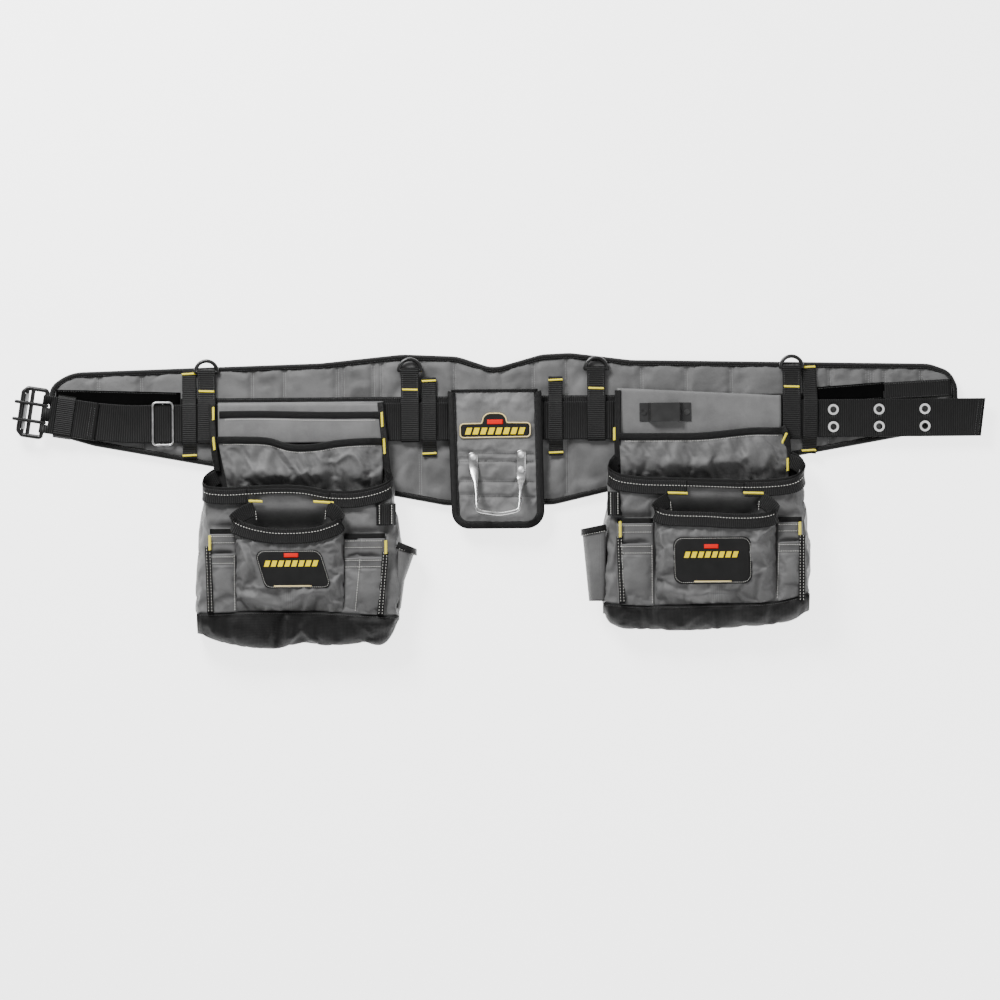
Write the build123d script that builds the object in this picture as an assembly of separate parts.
"""Carpenter's padded tool belt with two pouches and a hammer holder, laid open, face up.

Millimetres. +X runs along the web belt to its tongue end, +Y to the belt's upper edge and +Z out of
its face. The origin is the centre of the belt's bounding box, on the surface that it lies on.
"""

from build123d import *
from math import asin, cos, degrees, radians, sin
import os

os.makedirs("parts", exist_ok=True)

# Driving dimensions
fabric = 1.4  # thickness of a sewn fabric wall
gap = 0.4  # air between the web and what slides on it

# Padded belt
pad_top = 10.0
lining_thickness = 1.2
face_thickness = 1.2
binding_width = 8.0
binding_top = 10.3
band_top = 11.2

# Web belt
web_y = 110.5
web_width = 53.0
web_thickness = 2.6
web_bottom = 13.3
web_end_x = 680.0
web_end_slant = 7.0
web_bend_x = -540.0
web_low = web_y - web_width / 2
web_high = web_y + web_width / 2
web_top = web_bottom + web_thickness

# Tunnels that slide on the web
tunnel_floor = web_bottom - gap - fabric
tunnel_top = web_top + gap + fabric
tunnel_low = web_low - gap - fabric
tunnel_high = web_high + gap + fabric

# Eyelets in the tongue, matched by the two prongs
eyelet_x = [467.0, 531.0, 595.0]
eyelet_spacing = 24.0
eyelet_outer_radius = 7.5
eyelet_hole_radius = 4.6
eyelet_flange = 0.7

# Buckle, in its own frame: u along the web, v across it, turned with the end of the web
buckle_angle = 8.9
buckle_x = -636.0
buckle_y = 125.4
bar_z = 17.95
bar_radius = 2.0
turning_clearance = 0.05
buckle_half_height = 33.0
rail_u = -33.0
roller_u = -27.0
mid_bar_u = -19.5
roller_radius = 3.0
roller_axle_radius = 1.3
roller_length = 50.0
prong_radius = 1.75
prong_length = 41.1
prong_slot = 6.0
fold_length = 74.0

# Keeper loops, hangers and their rings
keeper_width = 19.6
keeper_x = [-443.0, -107.8, 69.3, 422.8]
keeper_ends = [(66.0, 179.0), (63.0, 171.0), (63.0, 171.0), (71.0, 179.0)]
hanger_width = 25.2
hanger_x = [-421.5, -137.2, 123.2, 396.4]
ring_bar_y = web_y + 72.0
ring_bar_z = (tunnel_floor + tunnel_top) / 2
ring_wire_radius = 2.0
ring_radius = 15.2

# Slide adjuster
adjuster_x = -486.0
adjuster_length = 31.0
adjuster_wire_radius = 1.5
adjuster_bar_radius = 0.75

# Hammer holder
holder_x = -7.0
holder_half_top = 64.0
holder_half_bottom = 68.0
holder_low = -39.0
holder_high = 154.5
holder_corner = 24.0
holder_panel_top = 22.0
holder_binding_width = 9.0
loop_wire_radius = 2.7
loop_lift = 26.0

# Pouches
body_half = 139.0
base_half = 140.5
back_bottom = 0.3
back_top = back_bottom + fabric
front_top = 50.0
front_bottom = front_top - fabric
hinge_y = 80.0
hinge_z = 24.8
upper_half = 113.5
upper_mouth_top = 32.4
pocket_depth = 24.0
small_depth = 8.4
rim_height = 20.0

left = {
    "name": "left",
    "x": -281.5,
    "sleeve": (-394.2, -161.0),
    "rim_y": 18.0,
    "base_y": -160.0,
    "floor_y": -204.0,
    "band_gap": (-68.5, 43.5),
    "pocket": (-87.0, 64.0),
    "pocket_y": -34.0,
    "patch": (-61.0, 47.0, -119.0, -67.0),
    "small": [(-124.5, -89.0), (66.0, 120.0)],
    "small_y": -52.0,
    "side": 1,
    "side_y": (-150.0, -57.0),
    "side_reach": 23.0,
    "strap": (109.5, 135.5),
    "strap_y": (-34.0, -4.0),
}
right = {
    "name": "right",
    "x": 288.0,
    "sleeve": (164.0, 394.8),
    "rim_y": 30.0,
    "base_y": -141.0,
    "floor_y": -183.0,
    "band_gap": (-26.0, 51.0),
    "pocket": (-71.0, 96.0),
    "pocket_y": -16.0,
    "patch": (-47.0, 62.0, -118.0, -53.0),
    "small": [(-124.0, -72.5), (97.5, 134.0)],
    "small_y": -38.0,
    "side": -1,
    "side_y": (-141.0, -40.0),
    "side_reach": 29.0,
    "strap": (-137.0, -117.0),
    "strap_y": (-22.0, 8.0),
}


def block(x0, x1, y0, y1, z0, z1):
    """A box between two corners."""
    return Pos((x0 + x1) / 2, (y0 + y1) / 2, (z0 + z1) / 2) * Box(x1 - x0, y1 - y0, z1 - z0)


def prism_x(points, x0, x1):
    """A polygon of (y, z) points, extruded from x0 to x1."""
    face = Plane.YZ.offset(x0) * make_face(Polyline(*points, close=True))
    return extrude(face, amount=x1 - x0, dir=(1, 0, 0))


def prism_y(points, y0, y1):
    """A polygon of (x, z) points, extruded from y0 to y1."""
    face = Plane.XZ.offset(-y0) * make_face(Polyline(*points, close=True))
    return extrude(face, amount=y1 - y0, dir=(0, 1, 0))


def prism_z(points, z0, z1):
    """A polygon of (x, y) points, extruded from z0 to z1."""
    face = Plane.XY.offset(z0) * make_face(Polyline(*points, close=True))
    return extrude(face, amount=z1 - z0, dir=(0, 0, 1))


def slab(outline, z0, z1):
    """A closed line in XY, extruded from z0 to z1."""
    return Pos(0, 0, z0) * extrude(make_face(outline), amount=z1 - z0, dir=(0, 0, 1))


def rod(start, end, radius):
    """A round rod between two points."""
    a = Vector(*start)
    b = Vector(*end)
    return Plane(origin=a, z_dir=b - a) * Cylinder(radius, (b - a).length, align=(Align.CENTER, Align.CENTER, Align.MIN))


def save(shape, name):
    export_step(shape, f"parts/{name}.step")


def belt_outline():
    """The padded belt's outer edge: two low humps over the hips, long tapering ends."""
    corners = [
        (-632, 162, 26), (-600, 183.5, 60), (-250, 193.5, 150), (-135, 205, 120), (-8, 184, 90),
        (100, 205.3, 90), (185, 194.5, 80), (596, 186, 60), (641, 166, 22), (642, 130, 10),
        (575, 86, 60), (410, 57, 200), (150, 10, 120), (75, -7.5, 60), (-75, -7.5, 60),
        (-150, 7, 120), (-400, 49.5, 200), (-567, 80, 100), (-622, 96, 16),
    ]
    points = [(x, y) for x, y, _ in corners]
    radii = [r for _, _, r in corners]
    return FilletPolyline(*points, radius=radii, close=True)


def padded_belt():
    outer = make_face(belt_outline())
    inner = offset(outer, amount=-binding_width)
    save(extrude(inner, amount=lining_thickness, dir=(0, 0, 1)), "belt_lining")
    foam_height = pad_top - lining_thickness - face_thickness
    save(Pos(0, 0, lining_thickness) * extrude(inner, amount=foam_height, dir=(0, 0, 1)), "belt_foam")
    face = extrude(inner, amount=face_thickness, dir=(0, 0, 1))
    save(Pos(0, 0, pad_top - face_thickness) * face, "belt_face")
    save(extrude(outer - inner, amount=binding_top, dir=(0, 0, 1)), "belt_edge_binding")


def backing_bands():
    """Three flat bands sewn to the face behind the web belt."""
    spans = [(-612, -448, 112, 158), (-445, 442, 92, 144.5), (446, 626, 132, 156)]
    bands = [block(x0, x1, y0, y1, pad_top, band_top) for x0, x1, y0, y1 in spans]
    save(Compound(children=bands), "backing_bands")


def keeper_loops():
    """Straps sewn at both ends, which bridge the web belt."""
    foot = 12.0
    ramp = 16.0
    low = web_top + gap
    high = low + fabric
    for number, (x, (y0, y1)) in enumerate(zip(keeper_x, keeper_ends), 1):
        foot_low = min(y0 + foot, web_low - ramp / 2)
        foot_high = max(y1 - foot, web_high + ramp / 2)
        profile = [
            (y0, pad_top), (foot_low, pad_top), (web_low - 1, low), (web_high + 1, low),
            (foot_high, pad_top), (y1, pad_top), (y1, pad_top + fabric),
            (foot_high + 1, pad_top + fabric), (web_high + 2, high), (web_low - 2, high),
            (foot_low - 1, pad_top + fabric), (y0, pad_top + fabric),
        ]
        save(prism_x(profile, x, x + keeper_width), f"keeper_loop_{number}")


def at_buckle(shape):
    """Moves a shape from the buckle's own frame to the belt's."""
    return Pos(buckle_x, buckle_y, 0) * Rot(0, 0, -buckle_angle) * shape


def prong_v(side):
    return side * eyelet_spacing / 2


def web_belt():
    """The 2 inch web: a straight run to the tongue, and an end folded round the buckle's bar."""
    half = web_width / 2
    run = prism_z(
        [
            (web_bend_x, web_low), (web_end_x - web_end_slant, web_low),
            (web_end_x, web_high), (web_bend_x, web_high),
        ],
        web_bottom, web_top,
    )
    holes = [
        Pos(x, web_y + prong_v(side), web_bottom) * Cylinder(eyelet_hole_radius + eyelet_flange, 4 * web_thickness)
        for x in eyelet_x
        for side in (-1, 1)
    ]
    run -= holes
    fold_radius = bar_z - web_bottom
    hole_radius = fold_radius - web_thickness
    bend_u = (web_bend_x - buckle_x) / cos(radians(buckle_angle))
    lower = block(0, bend_u, -half, half, web_bottom, web_top)
    upper_bottom = bar_z + hole_radius
    settle = 20.0
    top_bottom = web_top
    upper = prism_y(
        [
            (0, upper_bottom), (settle, top_bottom), (fold_length, top_bottom),
            (fold_length, top_bottom + web_thickness), (settle, top_bottom + web_thickness),
            (0, upper_bottom + web_thickness),
        ],
        -half, half,
    )
    nose = Pos(0, 0, bar_z) * Rot(90, 0, 0) * (Cylinder(fold_radius, web_width) - Cylinder(hole_radius, web_width))
    nose -= block(0, 2 * fold_radius, -half, half, 0, 2 * bar_z)
    fold = lower + upper + nose
    for side in (-1, 1):
        v = prong_v(side)
        fold -= block(-2 * fold_radius, 15, v - prong_slot / 2, v + prong_slot / 2, 0, 2 * bar_z)
    elbow = Pos(web_bend_x, web_y, web_bottom) * Cylinder(
        half, web_thickness, align=(Align.CENTER, Align.CENTER, Align.MIN)
    )
    save(run + at_buckle(fold) + elbow, "web_belt")
    end_keeper(half)


def end_keeper(half):
    """A webbing loop that holds the folded end down, just behind the buckle."""
    keeper_u = 16.0
    keeper_length = 25.0
    top = web_top + web_thickness
    side = half + gap
    outer = block(keeper_u, keeper_u + keeper_length, -side - fabric, side + fabric, web_bottom - 2, top + gap + fabric)
    inner = block(0, 3 * keeper_length, -side, side, web_bottom - gap, top + 3 * gap)
    save(at_buckle(outer - inner), "end_keeper")


def eyelets():
    """Two-row steel eyelets through the tongue."""
    rings = []
    for x in eyelet_x:
        for side in (-1, 1):
            height = web_thickness + 2 * eyelet_flange
            barrel = Cylinder(eyelet_hole_radius + eyelet_flange, height)
            flange = Cylinder(eyelet_outer_radius, eyelet_flange)
            lift = (web_thickness + eyelet_flange) / 2
            ring = barrel + Pos(0, 0, lift) * flange + Pos(0, 0, -lift) * flange
            ring -= Cylinder(eyelet_hole_radius, 2 * height)
            rings.append(Pos(x, web_y + prong_v(side), (web_bottom + web_top) / 2) * ring)
    save(Compound(children=rings), "tongue_eyelets")


def cross_rod(u, radius, half_length):
    """A rod across the buckle, at its height."""
    return rod((u, -half_length, bar_z), (u, half_length, bar_z), radius)


def buckle():
    """Roller buckle: a wire frame with a front rail, roller axle, middle bar and hinge bar."""
    reach = buckle_half_height
    corner_cut = 6.0
    shoulder = (rail_u + corner_cut, reach)
    end = (rail_u, reach - corner_cut)
    upper_half_path = [(0, reach), shoulder, end]
    lower_half_path = [(u, -v) for u, v in reversed(upper_half_path)]
    path = FilletPolyline(*upper_half_path, *lower_half_path, radius=3.5, close=True)
    section = Plane(origin=(0, 0, 0), z_dir=(0, 1, 0)) * Circle(bar_radius)
    frame = Pos(0, 0, bar_z) * sweep(section, path=path)
    frame += cross_rod(mid_bar_u, bar_radius - 0.1, reach)
    frame += cross_rod(roller_u, roller_axle_radius, reach - 1)
    save(at_buckle(frame), "buckle_frame")
    tube = Cylinder(roller_radius, roller_length)
    tube -= Cylinder(roller_axle_radius + turning_clearance, 2 * roller_length)
    save(at_buckle(Pos(roller_u, 0, bar_z) * Rot(90, 0, 0) * tube), "buckle_roller")
    for name, side in (("prong_lower", -1), ("prong_upper", 1)):
        save(at_buckle(Pos(0, prong_v(side), bar_z) * prong()), name)


def prong():
    """A pin with an eye that turns on the hinge bar and a shank that rests on the roller."""
    eye_width = 3.6
    eye_radius = bar_radius + turning_clearance + 1.6
    eye = Rot(90, 0, 0) * Cylinder(eye_radius, eye_width)
    seat = roller_radius + prong_radius + 0.15
    shank_start = eye_radius - prong_radius + 0.2
    rise = asin((seat - shank_start) / -roller_u)
    start = (0, 0, shank_start)
    end = (-prong_length * cos(rise), 0, shank_start + prong_length * sin(rise))
    shank = rod(start, end, prong_radius) + Pos(*end) * Sphere(prong_radius)
    bore = Rot(90, 0, 0) * Cylinder(bar_radius + turning_clearance, 2 * eye_width)
    return eye + shank - bore


def slide_adjuster():
    """A wire rectangle on the web with a middle bar that passes under it."""
    half = web_width / 2 + 1.5 + adjuster_wire_radius
    x0 = adjuster_x + adjuster_wire_radius
    x1 = adjuster_x + adjuster_length - adjuster_wire_radius
    z = web_top + gap + adjuster_wire_radius
    corner = 5.0
    wire = Polyline((x0, web_y - half), (x1, web_y - half), (x1, web_y + half), (x0, web_y + half), close=True)
    path = Pos(0, 0, z) * fillet(wire.vertices(), corner)
    section = Plane(origin=(x0 + 15, web_y - half, z), z_dir=(1, 0, 0)) * Circle(adjuster_wire_radius)
    frame = sweep(section, path=path)
    low_z = web_bottom - gap - adjuster_bar_radius
    x = (x0 + x1) / 2
    bar = [(x, web_y - half, z), (x, web_y - half, low_z), (x, web_y + half, low_z), (x, web_y + half, z)]
    for start, end in zip(bar, bar[1:]):
        frame += rod(start, end, adjuster_bar_radius)
    frame += [Pos(*corner_point) * Sphere(adjuster_bar_radius) for corner_point in bar[1:3]]
    save(frame, "slide_adjuster")


def hangers():
    """Webbing loops round the web belt, sewn across above it, with a ring in the top fold."""
    web_hole = (web_low - gap, web_high + gap, web_bottom - gap, web_top + gap)
    end_radius = (tunnel_top - tunnel_floor) / 2
    for number, x in enumerate(hanger_x, 1):
        body = block(x, x + hanger_width, tunnel_low, ring_bar_y, tunnel_floor, tunnel_top)
        top_fold = Pos(x, ring_bar_y, ring_bar_z) * Rot(0, 90, 0) * Cylinder(
            end_radius, hanger_width, align=(Align.CENTER, Align.CENTER, Align.MIN)
        )
        y0, y1, z0, z1 = web_hole
        body = body + top_fold - block(x - 1, x + hanger_width + 1, y0, y1, z0, z1)
        bore = ring_wire_radius + turning_clearance
        body -= rod((x - 1, ring_bar_y, ring_bar_z), (x + hanger_width + 1, ring_bar_y, ring_bar_z), bore)
        save(body, f"hanger_{number}")
        save(Pos(x + hanger_width / 2, ring_bar_y, ring_bar_z) * d_ring(), f"d_ring_{number}")


def d_ring():
    """A D of round wire: a straight bar and a half circle."""
    bar = rod((-ring_radius, 0, 0), (ring_radius, 0, 0), ring_wire_radius)
    section = Plane.XZ * (Pos(ring_radius, 0) * Circle(ring_wire_radius))
    bow = revolve(section, axis=Axis.Z, revolution_arc=180)
    ends = [Pos(side * ring_radius, 0, 0) * Sphere(ring_wire_radius) for side in (-1, 1)]
    return bar + bow + ends


def holder_shape(inset):
    """The holder's outline: straight top, slightly flared sides and round bottom corners."""
    top = holder_half_top - inset
    bottom = holder_half_bottom - inset
    corner = holder_corner - inset
    return FilletPolyline(
        (holder_x - top, holder_high - inset), (holder_x - bottom, holder_low + inset),
        (holder_x + bottom, holder_low + inset), (holder_x + top, holder_high - inset),
        radius=[4, corner, corner, 4], close=True,
    )


def hammer_holder():
    back = block(
        holder_x - holder_half_top, holder_x + holder_half_top,
        tunnel_low - 6, tunnel_high + 6, tunnel_floor, tunnel_top,
    )
    back -= block(
        holder_x - 2 * holder_half_top, holder_x + 2 * holder_half_top,
        web_low - gap, web_high + gap, web_bottom - gap, web_top + gap,
    )
    save(back, "holder_sleeve")
    save(slab(holder_shape(holder_binding_width), tunnel_top, holder_panel_top), "holder_panel")
    rim = slab(holder_shape(0), tunnel_top, holder_panel_top + 0.6)
    rim -= slab(holder_shape(holder_binding_width), tunnel_top - 1, holder_panel_top + 2)
    save(rim, "holder_binding")
    patch = FilletPolyline((-52, 85), (45, 85), (45, 107), (12, 110), (10, 122), (-21, 122), (-24, 110), (-52, 107),
                           radius=4, close=True)
    save(slab(patch, holder_panel_top, holder_panel_top + 1.4), "holder_patch")
    hammer_loop()


def hammer_loop():
    """A steel wire loop that stands off the panel on flat riveted ears."""
    z = holder_panel_top
    ear_thickness = 2.0
    left_x = -34.0
    right_x = 32.0
    low_y = -14.0
    ears = block(left_x - 7, left_x + 7, 48, 66, z, z + ear_thickness)
    ears += block(right_x - 7, right_x + 7, 28, 70, z, z + ear_thickness)
    foot_y = {left_x: 49.0, right_x: 29.0}
    lift = z + loop_lift
    inset = 6.0
    wire = ears
    for x, end in ((left_x, left_x + inset), (right_x, right_x - inset)):
        root = (x, foot_y[x], z + loop_wire_radius)
        tip = (end, low_y, lift)
        wire += rod(root, tip, loop_wire_radius)
        wire += Pos(*root) * Sphere(loop_wire_radius)
        wire += Pos(*tip) * Sphere(loop_wire_radius)
    bow_ends = [(left_x + inset, low_y, lift), (right_x - inset, low_y, lift)]
    mid = (0, low_y - 6, lift + 2)
    wire += rod(bow_ends[0], mid, loop_wire_radius)
    wire += rod(mid, bow_ends[1], loop_wire_radius)
    wire += Pos(*mid) * Sphere(loop_wire_radius)
    rivet_points = [(left_x, 60), (right_x, 63), (right_x, 40)]
    head = 2.0
    shank = 2.4
    holes = [Pos(x, y, z) * Cylinder(shank, 6 * ear_thickness) for x, y in rivet_points]
    save(wire - holes, "hammer_loop")
    rivets = []
    for x, y in rivet_points:
        pin = Pos(x, y, z) * Cylinder(shank, ear_thickness, align=(Align.CENTER, Align.CENTER, Align.MIN))
        cap = Pos(x, y, z + ear_thickness) * Cylinder(5.2, head, align=(Align.CENTER, Align.CENTER, Align.MIN))
        rivets.append(pin + chamfer(cap.edges().group_by(Axis.Z)[-1], 0.8))
    save(Compound(children=rivets), "hammer_loop_rivets")


def sleeve(side):
    """A flat tube of fabric on the web belt."""
    x0, x1 = side["sleeve"]
    tube = block(x0, x1, tunnel_low, tunnel_high, tunnel_floor, tunnel_top)
    tube -= block(x0 - 1, x1 + 1, web_low - gap, web_high + gap, web_bottom - gap, web_top + gap)
    save(tube, f"{side['name']}_sleeve")


def flat_pocket():
    """A shallow pocket across the front of the left sleeve, open at its top edge."""
    x0, x1 = left["sleeve"]
    low = hinge_y + 2
    high = 125.0
    pocket = block(x0, x1, low, high, tunnel_top, hinge_z - 0.2)
    pocket -= block(x0 + fabric, x1 - fabric, low + fabric, high + 1, tunnel_top - 1, hinge_z - 0.2 - fabric)
    save(pocket, "left_flat_pocket")


def tape_clip():
    """A bent steel strap on the right sleeve that holds a tape measure's hook."""
    thickness = 1.6
    z = tunnel_top
    lift = 9.0
    x0 = 196.0
    x1 = 268.0
    ear = 13.0
    low = 108.0
    high = 134.0
    profile = [
        (x0, z), (x0 + ear, z), (x0 + ear + 4, z + lift), (x1 - ear - 4, z + lift), (x1 - ear, z), (x1, z),
        (x1, z + thickness), (x1 - ear + 1, z + thickness), (x1 - ear - 3, z + lift + thickness),
        (x0 + ear + 3, z + lift + thickness), (x0 + ear - 1, z + thickness), (x0, z + thickness),
    ]
    clip = prism_y(profile, low, high)
    shank = 2.0
    mid = (low + high) / 2
    centres = [x0 + ear / 2 - 0.5, x1 - ear / 2 + 0.5]
    clip -= [Pos(x, mid, z) * Cylinder(shank, 6 * thickness) for x in centres]
    save(clip, "tape_clip")
    rivets = []
    for x in centres:
        pin = Pos(x, mid, z) * Cylinder(shank, thickness, align=(Align.CENTER, Align.CENTER, Align.MIN))
        cap = Pos(x, mid, z + thickness) * Cylinder(4, 1.2, align=(Align.CENTER, Align.CENTER, Align.MIN))
        rivets.append(pin + cap)
    save(Compound(children=rivets), "tape_clip_rivets")


def at_pouch(side, shape):
    return Pos(side["x"], 0, 0) * shape


def pouch_shell(side):
    """Back, gussets, front and base of the main pocket, each a separate wall."""
    name = side["name"]
    rim_y = side["rim_y"]
    base_y = side["base_y"]
    step_z = binding_top + 1.3
    edge_y = -1.0
    slope = 15.0
    back = [
        (hinge_y - 0.3, step_z), (edge_y, step_z), (edge_y - slope, back_bottom), (base_y, back_bottom),
        (base_y, back_top), (edge_y - slope - 0.4, back_top), (edge_y - 0.4, step_z + fabric),
        (hinge_y - 0.3, step_z + fabric),
    ]
    shoulder = rim_y + 27
    outline = [
        (-body_half, base_y), (body_half, base_y), (body_half, shoulder), (upper_half, shoulder + 12),
        (upper_half, hinge_y), (-upper_half, hinge_y), (-upper_half, shoulder + 12), (-body_half, shoulder),
    ]
    panel = prism_x(back, -body_half, body_half) & prism_z(outline, 0, step_z + 2 * fabric)
    save(at_pouch(side, panel), f"{name}_back_panel")
    gusset = [
        (base_y, back_top), (edge_y - slope - 0.4, back_top), (edge_y - 0.4, step_z + fabric),
        (shoulder, step_z + fabric), (rim_y, front_bottom), (base_y, front_bottom),
    ]
    walls = [
        at_pouch(side, prism_x(gusset, -body_half, -body_half + fabric)),
        at_pouch(side, prism_x(gusset, body_half - fabric, body_half)),
    ]
    save(Compound(children=walls), f"{name}_gussets")
    front = block(-body_half, body_half, base_y, rim_y, front_bottom, front_top)
    save(at_pouch(side, front), f"{name}_front_panel")
    save(at_pouch(side, base(side)), f"{name}_base")


def base(side):
    """The heavy bottom: a tray, open to the pocket, with a sagging lower edge."""
    top = side["base_y"]
    floor = side["floor_y"]
    corner = floor + 18
    outer = slab(base_outline(base_half, top, corner, floor), back_bottom, front_top)
    wall = fabric
    inner = slab(base_outline(base_half - wall, top + 1, corner + wall, floor + wall), back_top, front_bottom)
    return outer - inner


def base_outline(half, top, corner, floor):
    sag = ThreePointArc((-half, corner), (0, floor), (half, corner))
    sides = Polyline((half, corner), (half, top), (-half, top), (-half, corner))
    return sag + sides


def upper_pocket(side):
    """A full-width pocket in front of the back panel, open at the top."""
    low = side["rim_y"] - 8
    floor = binding_top + 1.3 + fabric
    top = upper_mouth_top
    mouth = hinge_y - 0.3
    outer = [(mouth, floor), (mouth, top), (low + 12, top - 3), (low + 3, top - 9), (low, floor)]
    inner = [
        (mouth + 1, floor - 1), (mouth + 1, top - fabric), (low + 12.4, top - 3 - fabric),
        (low + 4.4, top - 9.6), (low + fabric, floor - 1),
    ]
    pocket = prism_x(outer, -upper_half, upper_half)
    pocket -= prism_x(inner, -upper_half + fabric, upper_half - fabric)
    save(at_pouch(side, pocket), f"{side['name']}_upper_pocket")


def rim_band(side):
    """Webbing round the mouth, parted in the middle where the front pocket's back shows."""
    high = side["rim_y"]
    low = high - rim_height
    gap_low, gap_high = side["band_gap"]
    outer_x = body_half + fabric
    outer_z = front_top + fabric
    side_z = 22.0
    bands = []
    for sign, inner_x in ((-1, gap_low), (1, gap_high)):
        profile = [
            (inner_x, front_top), (sign * body_half, front_top), (sign * body_half, side_z),
            (sign * outer_x, side_z), (sign * outer_x, outer_z), (inner_x, outer_z),
        ]
        bands.append(at_pouch(side, prism_y(profile, low, high)))
    save(Compound(children=bands), f"{side['name']}_rim_band")


def front_pocket(side):
    """A bellows pocket on the front, with its own webbing rim and patch."""
    name = side["name"]
    x0, x1 = side["pocket"]
    high = side["pocket_y"]
    low = side["base_y"] + 2
    top = front_top + pocket_depth
    shell = block(x0, x1, low, high, front_top, top)
    shell -= block(x0 + fabric, x1 - fabric, low + fabric, high + 1, front_top - 1, top - fabric)
    save(at_pouch(side, shell), f"{name}_front_pocket")
    rim = block(x0 - fabric, x1 + fabric, high - rim_height, high, front_top + 2, top + fabric)
    rim -= block(x0, x1, high - 2 * rim_height, high + 1, front_top - 1, top)
    save(at_pouch(side, rim), f"{name}_front_pocket_rim")
    px0, px1, py0, py1 = side["patch"]
    outline = FilletPolyline((px0, py1), (px1 - 8, py1), (px1, py0), (px0 + 10, py0), radius=10, close=True)
    save(at_pouch(side, slab(outline, top, top + 1.6)), f"{name}_patch")


def small_pockets(side):
    """Two pairs of narrow tool pockets beside the front pocket."""
    high = side["small_y"]
    low = side["base_y"] + 2
    top = front_top + small_depth
    pairs = []
    for x0, x1 in side["small"]:
        pair = block(x0, x1, low, high, front_top, top)
        mid = (x0 + x1) / 2
        for a, b in ((x0 + fabric, mid - fabric / 2), (mid + fabric / 2, x1 - fabric)):
            pair -= block(a, b, low + fabric, high + 1, front_top - 1, top - fabric)
        pairs.append(at_pouch(side, pair))
    save(Compound(children=pairs), f"{side['name']}_tool_pockets")


def side_pocket(side):
    """A tapering tool pocket on one gusset, open at its top."""
    low, high = side["side_y"]
    reach = side["side_reach"]
    z0 = 14.0
    z1 = 44.0
    sign = side["side"]
    x = body_half + 0.1
    outer = [(x, low), (x, high), (x + reach, high - 4), (x + 7, low)]
    inner = [(x + fabric, low + fabric), (x + fabric, high + 8), (x + reach + 0.4, high + 8), (x + 6.4, low + fabric)]
    shell = prism_z([(sign * px, py) for px, py in outer], z0, z1)
    shell -= prism_z([(sign * px, py) for px, py in inner], z0 + fabric, z1 - fabric)
    save(at_pouch(side, shell), f"{side['name']}_side_pocket")


def strap_loop(side):
    """A short webbing bridge on the front, for a tool held upright."""
    x0, x1 = side["strap"]
    y0, y1 = side["strap_y"]
    z = front_top
    lift = 6.0
    foot = 4.0
    profile = [
        (x0, z), (x0 + foot, z), (x0 + foot, z + lift), (x1 - foot, z + lift), (x1 - foot, z), (x1, z),
        (x1, z + fabric), (x1 - foot + fabric, z + fabric), (x1 - foot + fabric, z + lift + fabric),
        (x0 + foot - fabric, z + lift + fabric), (x0 + foot - fabric, z + fabric), (x0, z + fabric),
    ]
    save(at_pouch(side, prism_y(profile, y0, y1)), f"{side['name']}_strap_loop")


def pouch(side):
    sleeve(side)
    pouch_shell(side)
    upper_pocket(side)
    rim_band(side)
    front_pocket(side)
    small_pockets(side)
    side_pocket(side)
    strap_loop(side)


padded_belt()
backing_bands()
keeper_loops()
web_belt()
eyelets()
buckle()
slide_adjuster()
hangers()
hammer_holder()
flat_pocket()
tape_clip()
pouch(left)
pouch(right)
